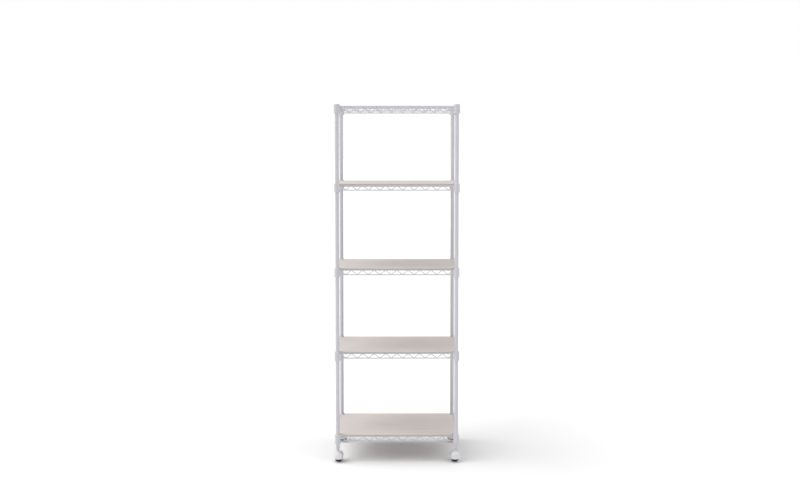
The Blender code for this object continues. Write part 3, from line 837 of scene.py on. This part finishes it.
def collar(place, height, bottom, top):
    """A cast collar: its outer radius widens evenly downwards, with a rolled bead at each end."""
    wall = rounded([(0.01262, bottom + 0.0006), (0.0131, bottom), (0.0151, bottom),
                    (0.0151, bottom + 0.0042), (0.01455, bottom + 0.0052),
                    (0.01425, top - 0.0046), (0.0147, top - 0.0038), (0.0147, top),
                    (0.0129, top), (0.01255, top - 0.0005)],
                   [0.0, 0.0, 0.0009, 0.0009, 0.0008, 0.0008, 0.0008, 0.0009, 0.0, 0.0])
    return turned(wall, 48, closed=True).moved(place + np.array([0.0, 0.0, height]))


def wire_shelf(wires):
    """One shelf about the middle of its top rails: four sides, four collars, the mat's wires in
    even rows, the cross rods under every sixth bend, and a weld bead at each crossing."""
    post_x, post_y, _ = np.abs(corner_place("front_left"))
    low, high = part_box("shelf_1")
    height = shelf_height(1)
    pieces = []
    for sign in (-1.0, 1.0):
        pieces += side_frame(post_x, LONG_TRUSS_STEPS, wires, 0, sign * post_y)
        pieces += side_frame(post_y, SHORT_TRUSS_STEPS, wires, 1, sign * post_x)
    for corner in CORNERS:
        pieces.append(collar(corner_place(corner), 0.0, low.z - height, high.z - height))
    mat, rods = wires.mat_diameter / 2.0, wires.rod_diameter / 2.0
    rows = 2.0 * post_y / (MAT_WIRES + 1) * (np.arange(MAT_WIRES) - (MAT_WIRES - 1) / 2.0)
    reach = post_x - 0.0004
    for y in rows:
        pieces.append(tube([(-reach, y, -wires.mat_drop), (reach, y, -wires.mat_drop)], mat,
                           wires.sides, (0.0, 0.0, 1.0)))
    step = 2.0 * (post_x - TRUSS_END_TO_POST) / LONG_TRUSS_STEPS
    lines = CROSS_ROD_TRUSS_STEPS * step * (np.arange(CROSS_RODS) - (CROSS_RODS - 1) / 2.0)
    reach = post_y + wires.rail_diameter / 2.0 - GAP
    for x in lines:
        pieces.append(rod((x, -reach, -wires.rod_drop), (x, reach, -wires.rod_drop), rods,
                          wires.sides, (0.0, 0.0, 1.0)))
    cross = np.stack(np.meshgrid(lines, rows, indexing="ij"), -1).reshape(-1, 2)
    drop = (wires.mat_drop + mat + wires.rod_drop - rods) / 2.0
    pieces += beads(np.column_stack([cross, np.full(len(cross), -drop)]),
                    (rods * 0.95, mat * 1.05, mat * 0.62))
    ends = np.stack(np.meshgrid(lines, (-post_y, post_y), indexing="ij"), -1).reshape(-1, 2)
    pieces += beads(np.column_stack([ends, np.full(len(ends), -wires.rail_diameter / 2.0 + 0.0003)]),
                    (rods * 1.25, rods * 0.95, rods * 0.6))
    sides = np.stack(np.meshgrid((-post_x, post_x), rows, indexing="ij"), -1).reshape(-1, 2)
    inward = np.column_stack([sides[:, 0] - np.sign(sides[:, 0]) * wires.rail_diameter * 0.48,
                              sides[:, 1], np.full(len(sides), -wires.mat_drop)])
    pieces += beads(inward, (mat * 0.7, mat * 1.22, mat * 1.15))
    return pieces


class RACK_OT_shelves(bpy.types.Operator):
    """Build the five welded wire shelves with their collars"""
    bl_idname = "rack.shelves"
    bl_label = "Wire shelves"

    def execute(self, context):
        coat = finish_for("baked_coat", context)
        pieces = wire_shelf(context.scene.rack_wires)
        for number in SHELF_NUMBERS:
            lift = (0.0, 0.0, shelf_height(number))
            mesh = make_mesh(f"wire_shelf_{number}", [piece.moved(lift) for piece in pieces], 50.0)
            add_piece(f"wire_shelf_{number}", mesh, STAND, [coat], [f"shelf_{number}"])
        return {'FINISHED'}


# ---------------------------------------------------------------- boards

def board_outline(steps):
    """The board's outline as (x, y) rows, anticlockwise: an arc about each post joins the sides.
    Arc point k lies at the notch radius from the post, at an angle that runs from one side of the
    board to the other."""
    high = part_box("board_1")[1]
    post = np.abs(corner_place("front_left"))[:2]
    past = np.array([math.asin((high.x - post[0]) / NOTCH_RADIUS),
                     math.asin((high.y - post[1]) / NOTCH_RADIUS)])
    turn = np.linspace(-past[0], math.pi / 2.0 + past[1], steps)
    arc = post - NOTCH_RADIUS * np.column_stack([np.sin(turn), np.cos(turn)])
    flip = np.array([-1.0, 1.0])
    return np.vstack([arc, (arc * flip)[::-1], -arc, (arc * -flip)[::-1]])


def board(number, settings):
    """The outline as a slab between the board's two faces."""
    low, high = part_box(f"board_{number}")
    return slab(board_outline(settings.notch_steps), low.z, high.z, settings.edge_radius)


class RACK_OT_boards(bpy.types.Operator):
    """Build the four loose boards"""
    bl_idname = "rack.boards"
    bl_label = "Boards"

    def execute(self, context):
        face = finish_for("board_face", context)
        edge_with_shade = finish_for("board_band", context)
        for number in BOARD_NUMBERS:
            whole = board(number, context.scene.rack_boards)
            mesh = make_mesh(f"shelf_board_{number}", [whole], 50.0)
            # The two flat faces are the last in the mesh, and the edges, darkened with painted shade,
            # take the second finish
            finishes = np.ones(len(mesh.polygons), np.int32)
            finishes[-len(whole.caps):] = 0
            mesh.polygons.foreach_set("material_index", finishes)
            add_piece(f"shelf_board_{number}", mesh, f"board_{number}", [face, edge_with_shade],
                      [f"board_{number}"])
        return {'FINISHED'}


# ---------------------------------------------------------------- casters

def caster_place(corner):
    """The caster's own axes and the axle's place: x runs along the trail, y along the axle."""
    foot = corner_place(corner)
    middles = []
    for side in SIDES:
        low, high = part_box(f"caster_wheel_{corner}_{side}")
        middles.append((np.array(low) + np.array(high)) / 2.0)
    axle = np.mean(middles, 0)
    trail = axle - foot
    trail[2] = 0.0
    length = np.linalg.norm(trail)
    trail /= length
    across = np.array([-trail[1], trail[0], 0.0])
    matrix = np.column_stack([trail, across, (0.0, 0.0, 1.0)])
    return matrix, foot, length, axle[2], float(np.dot(middles[0] - axle, across))


def stem(corner, settings):
    """A pin, a ring on the hood, a neck, the disc under the post and the insert inside it: one
    outline with eased corners, turned about the post's axis."""
    low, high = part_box(f"caster_stem_{corner}")
    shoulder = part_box(f"caster_hood_{corner}")[1].z + 0.0004
    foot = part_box(f"lower_post_{corner}")[0].z
    insert = POST_RADIUS - POST_WALL - GAP
    line = rounded([
        (0.0004, low.z), (0.0040, low.z), (0.0040, shoulder), (0.0068, shoulder),
        (0.0068, shoulder + 0.0016), (0.0055, shoulder + 0.0026), (0.0055, foot - 0.0021),
        (POST_RADIUS, foot - 0.0019), (POST_RADIUS, foot - GAP), (insert, foot - GAP),
        (insert, high.z), (0.0004, high.z)],
        [0.0, 0.0004, 0.0, 0.0003, 0.0004, 0.0008, 0.0009, 0.0004, 0.0003, 0.0, 0.0012, 0.0], 4)
    return turned(line, settings.sides).moved(corner_place(corner))


def crown(settings, radius, inwards, across):
    """How far the hood's skin lies from the axle at a distance across: an ellipse that falls
    from the radius, stepped inwards along its own normal. Gives (across, radius) rows."""
    wide, tall = settings.crown_half_width, settings.crown_height
    root = np.sqrt(1.0 - (across / wide) ** 2)
    slope = -tall * across / (wide * wide * root)
    length = np.sqrt(1.0 + slope * slope)
    fall = radius - tall * (1.0 - root)
    return np.column_stack([across + inwards * slope / length, fall - inwards / length])


def side_view(settings, distance, axle_height):
    """The hood from the side, about the axle, as (x, z) rows from tail to nose: an arc over the
    wheels, a level crest over the pivot, and a rounded nose that runs down."""
    radius = settings.crest_radius
    tail = math.asin((settings.tail_foot - axle_height) / radius)
    turn = np.linspace(tail, math.pi / 2.0, 26)
    arc = radius * np.column_stack([np.cos(turn), np.sin(turn)])
    nose = -distance - settings.nose
    front = rounded([(0.0, radius), (nose, radius), (nose + 0.0008, settings.nose_foot - axle_height)],
                    [0.0, settings.nose_bend, 0.0], 16)
    return np.vstack([arc, front[1:]])


def hood_skin(settings, outline):
    """Section j of the skin at outline point i: outside, the outline stepped inwards by the
    crown's fall at each distance across; inside, the wheels' pocket about the axle."""
    across = settings.rim_half_width * np.sin(np.linspace(-math.pi / 2.0, math.pi / 2.0, 33))
    fall = settings.crown_height * (1.0 - np.sqrt(1.0 - (across / settings.crown_half_width) ** 2))
    edge = np.gradient(outline, axis=0)
    inwards = np.column_stack([-edge[:, 1], edge[:, 0]])
    inwards /= np.linalg.norm(inwards, axis=1, keepdims=True)
    inwards = np.where(np.sum(inwards * outline, 1, keepdims=True) > 0.0, -inwards, inwards)
    outer = np.empty((len(outline), len(across), 3))
    outer[..., 0] = outline[:, :1] + inwards[:, :1] * fall
    outer[..., 1] = across
    outer[..., 2] = outline[:, 1:] + inwards[:, 1:] * fall
    outer[-1, :, 2] = outline[-1, 1]
    pocket = crown(settings, settings.crest_radius, settings.shell, across)[::-1]
    polar = np.unwrap(np.arctan2(outline[:, 1], outline[:, 0]))
    share = (polar - polar[0]) / (polar[-1] - polar[0])
    last = math.pi + np.arcsin(-outline[-1, 1] / pocket[:, 1])
    turn = polar[0] + share[:, None] * (last - polar[0])
    inner = np.empty((len(outline), len(across), 3))
    inner[..., 0] = pocket[:, 1] * np.cos(turn)
    inner[..., 1] = pocket[:, 0]
    inner[..., 2] = pocket[:, 1] * np.sin(turn)
    inner[-1, :, 2] = outline[-1, 1]
    return grid(np.concatenate([outer, inner], 1))


def along_axle(profile, steps, closed=False):
    """A turned shape whose axis is laid along Y."""
    return turned(profile, steps, closed).mapped(LAID_ALONG_Y)


def caster_hood(corner, settings):
    """Skin and nose, the web between the wheels, and the bosses of axle and stem, as one skin."""
    matrix, foot, distance, axle_height, _ = caster_place(corner)
    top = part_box(f"caster_hood_{corner}")[1].z - axle_height
    radius = settings.crest_radius
    outline = side_view(settings, distance, axle_height)
    pocket = radius - settings.shell - 0.0004
    tail, nose = math.asin(outline[0, 1] / radius), math.pi - math.asin(outline[-1, 1] / pocket)
    turn = np.linspace(tail, nose, 40)
    rim = (pocket + 0.001) * np.column_stack([np.cos(turn), np.sin(turn)])
    low = rounded([rim[-1], (-0.0060, -0.0076), (0.0040, -0.0082), (0.0100, -0.0060), rim[0]],
                  [0.0, 0.004, 0.004, 0.004, 0.0])
    half = settings.web / 2.0
    web = slab(np.vstack([rim, low[1:-1]]), -half, half, 0.0006).mapped(LAID_ALONG_Y)
    side = half + 0.0002
    axle_boss = along_axle([(0.0005, -side), (0.0062, -side), (0.0066, -side + 0.0004),
                            (0.0066, side - 0.0004), (0.0062, side), (0.0005, side)], 32)
    wide = settings.boss_radius
    boss = turned([(0.0005, radius - 0.0051), (wide, radius - 0.0051), (wide, top - 0.0009),
                   (wide - 0.0003, top - 0.0004), (wide - 0.0009, top - 0.0001),
                   (0.0005, top - 0.0001)], 48).moved((-distance, 0.0, 0.0))
    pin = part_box(f"caster_stem_{corner}")[0].z - 0.0004 - axle_height
    bore = turned([(0.0005, pin), (0.0043, pin), (0.0043, top + 0.01), (0.0005, top + 0.01)],
                  32).moved((-distance, 0.0, 0.0))
    mesh = joined(f"swivel_hood_{corner}", [hood_skin(settings, outline), web, axle_boss, boss], [bore])
    points = np.empty(len(mesh.vertices) * 3, np.float32)
    mesh.vertices.foreach_get("co", points)
    points = points.reshape(-1, 3) + np.array([distance, 0.0, axle_height])
    points = points @ matrix.T + foot
    mesh.vertices.foreach_set("co", points.ravel().astype(np.float32))
    mesh.update()
    return mesh


def tyre_profile(settings, half_gap):
    """Half a wheel's running surface as (radius, across) rows: the hood's crown stepped in by the
    shell and the clearance, with eased shoulders."""
    inwards = settings.shell + settings.wheel_gap
    across = np.linspace(half_gap + 0.0009, settings.tyre_shoulder, 15)
    run = crown(settings, settings.crest_radius, inwards, across)
    run = run[run[:, 1] > settings.hub_radius + 0.0015]
    out = run[-1, 0]
    hub = settings.hub_radius
    return np.vstack([
        [(hub, half_gap), (run[0, 1] - 0.0012, half_gap), (run[0, 1] - 0.0003, half_gap + 0.0003)],
        run[:, ::-1], [(run[-1, 1] - 0.0008, out + 0.0003), (hub, out + 0.0004)]])


def hub_profile(settings, half_gap):
    """The hub as (radius, across) rows: a rim, a dished face, a ring and a raised middle."""
    hub, face = settings.hub_radius - 0.0001, settings.hub_face
    return rounded([
        (0.0034, half_gap + 0.0002), (hub, half_gap + 0.0002), (hub, face - 0.0010),
        (hub - 0.0012, face), (hub - 0.0026, face), (hub - 0.0034, face - 0.0016),
        (0.0072, face - 0.0020), (0.0062, face - 0.0004), (0.0034, face - 0.0004)],
        [0.0, 0.0, 0.0010, 0.0008, 0.0006, 0.0008, 0.0008, 0.0006, 0.0], 4)


class RACK_OT_stems(bpy.types.Operator):
    """Build the plated stems that plug into the posts"""
    bl_idname = "rack.stems"
    bl_label = "Caster stems"

    def execute(self, context):
        steel = finish_for("plated_steel", context)
        for corner in CORNERS:
            add_piece(f"plug_in_stem_{corner}", stem(corner, context.scene.rack_posts), STAND,
                      [steel], [f"caster_stem_{corner}"])
        return {'FINISHED'}


class RACK_OT_hoods(bpy.types.Operator):
    """Build the moulded hoods and the axles pressed into them"""
    bl_idname = "rack.hoods"
    bl_label = "Caster hoods"

    def execute(self, context):
        settings = context.scene.rack_casters
        plastic = finish_for("moulded_plastic", context)
        steel = finish_for("plated_steel", context)
        for corner in CORNERS:
            body = f"caster_{corner}"
            add_piece(f"swivel_hood_{corner}", caster_hood(corner, settings), body,
                      [plastic], [f"caster_hood_{corner}"])
            matrix, foot, distance, height, _ = caster_place(corner)
            end = settings.hub_face
            line = rounded([(0.0004, -end), (0.0029, -end), (0.0029, end), (0.0004, end)],
                           [0.0, 0.0009, 0.0009, 0.0])
            axle = along_axle(line, 32).moved((distance, 0.0, height)).mapped(matrix, foot)
            add_piece(f"wheel_axle_{corner}", axle, body, [steel])
        return {'FINISHED'}


class RACK_OT_wheels(bpy.types.Operator):
    """Build the tyres and the hubs inside them"""
    bl_idname = "rack.wheels"
    bl_label = "Caster wheels"

    def execute(self, context):
        settings = context.scene.rack_casters
        rubber = finish_for("tyre_rubber", context)
        plastic = finish_for("moulded_plastic", context)
        for corner in CORNERS:
            matrix, foot, distance, height, first = caster_place(corner)
            half_gap = settings.web / 2.0 + WHEEL_TO_WEB
            for side, sign in zip(SIDES, (np.sign(first), -np.sign(first))):
                flip = np.diag([1.0, sign, 1.0])
                for name, profile, finish, slot, nodes in (
                        ("tyre", tyre_profile, rubber, "tyre", [f"caster_wheel_{corner}_{side}"]),
                        ("hub", hub_profile, plastic, "white_plastic", [])):
                    laid = along_axle(profile(settings, half_gap), 64, closed=True)
                    laid = laid.mapped(flip).moved((distance, 0.0, height)).mapped(matrix, foot)
                    add_piece(f"{name}_{corner}_{side}", laid, f"wheel_{corner}_{side}",
                              [finish], nodes)
        return {'FINISHED'}


# ---------------------------------------------------------------- stage

class RACK_OT_stage(bpy.types.Operator):
    """Set up the floor, the light and the camera"""
    bl_idname = "rack.stage"
    bl_label = "Stage"

    def execute(self, context):
        scene = context.scene
        stage = scene.rack_stage
        corners = np.array([(-1, -1, 0), (1, -1, 0), (1, 1, 0), (-1, 1, 0)])
        points = corners * stage.floor_reach
        mesh = bpy.data.meshes.new("studio_floor")
        mesh.from_pydata(points.tolist(), [], [(0, 1, 2, 3)])
        floor = bpy.data.objects.new("studio_floor", mesh)
        scene.collection.objects.link(floor)
        finish, _, shader, _ = new_finish("studio_floor", specular=0.0)
        shader.inputs["Base Color"].default_value = (*(stage.floor_tone,) * 3, 1.0)
        shader.inputs["Roughness"].default_value = 1.0
        mesh.materials.append(finish)

        world = bpy.data.worlds.new("white_surround")
        world.use_nodes = True
        tree = world.node_tree
        white = (1.0, 1.0, 1.0, 1.0)
        sky = node(tree, 'ShaderNodeBackground', {"Color": white, "Strength": stage.sky})
        seen = node(tree, 'ShaderNodeBackground', {"Color": white, "Strength": stage.backdrop})
        path = node(tree, 'ShaderNodeLightPath')
        both = node(tree, 'ShaderNodeMixShader', {
            0: path.outputs["Is Camera Ray"], 1: sky.outputs[0], 2: seen.outputs[0]})
        tree.links.new(both.outputs[0], tree.nodes["World Output"].inputs["Surface"])
        scene.world = world

        for name, heading in LIGHT_HEADINGS.items():
            light = bpy.data.lights.new(f"soft_{name}", 'SUN')
            light.energy = getattr(stage, name)
            light.angle = stage.spread
            lamp = bpy.data.objects.new(f"soft_{name}", light)
            scene.collection.objects.link(lamp)
            lamp.rotation_euler = Vector(heading).to_track_quat('-Z', 'Y').to_euler()

        lens = bpy.data.cameras.new("camera")
        lens.sensor_fit = 'VERTICAL'
        lens.sensor_width, lens.sensor_height = 36.0, stage.frame_height
        lens.lens = stage.lens
        lens.shift_y = stage.shift
        camera = bpy.data.objects.new("camera", lens)
        scene.collection.objects.link(camera)
        camera.location = stage.camera_place
        camera.rotation_euler = (math.pi / 2.0 - stage.pitch, 0.0, -stage.yaw)
        scene.camera = camera
        scene.view_settings.view_transform = 'Standard'
        scene.view_settings.look = 'None'
        return {'FINISHED'}


# ---------------------------------------------------------------- add-on

class RACK_PT_builder(bpy.types.Panel):
    """Lists the steps that build the rack"""
    bl_idname = "RACK_PT_builder"
    bl_label = "Wire shelving rack"
    bl_space_type = 'VIEW_3D'
    bl_region_type = 'UI'
    bl_category = "Rack"

    def draw(self, context):
        for operator in OPERATORS:
            self.layout.operator(operator.bl_idname)
        for name in SETTINGS:
            box = self.layout.box()
            group = getattr(context.scene, name)
            for key in group.__annotations__:
                box.prop(group, key)


SETTINGS = {
    "rack_posts": RackPostSettings,
    "rack_wires": RackWireSettings,
    "rack_boards": RackBoardSettings,
    "rack_casters": RackCasterSettings,
    "rack_finishes": RackFinishSettings,
    "rack_stage": RackStageSettings,
}
OPERATORS = (RACK_OT_stage, RACK_OT_posts, RACK_OT_caps, RACK_OT_sleeves, RACK_OT_shelves,
             RACK_OT_boards, RACK_OT_stems, RACK_OT_hoods, RACK_OT_wheels)


def register():
    """Register the classes, and hang each group of settings on the scene"""
    for kind in (*SETTINGS.values(), *OPERATORS, RACK_PT_builder):
        bpy.utils.register_class(kind)
    for name, kind in SETTINGS.items():
        setattr(bpy.types.Scene, name, bpy.props.PointerProperty(type=kind))


def unregister():
    """Take the settings off the scene, and unregister the classes"""
    for name in SETTINGS:
        delattr(bpy.types.Scene, name)
    for kind in (RACK_PT_builder, *reversed(OPERATORS), *SETTINGS.values()):
        bpy.utils.unregister_class(kind)


def main():
    """Build the rack with its operators, in their order"""
    register()
    for operator in OPERATORS:
        group, name = operator.bl_idname.split(".")
        getattr(getattr(bpy.ops, group), name)()


if __name__ == "__main__":
    main()
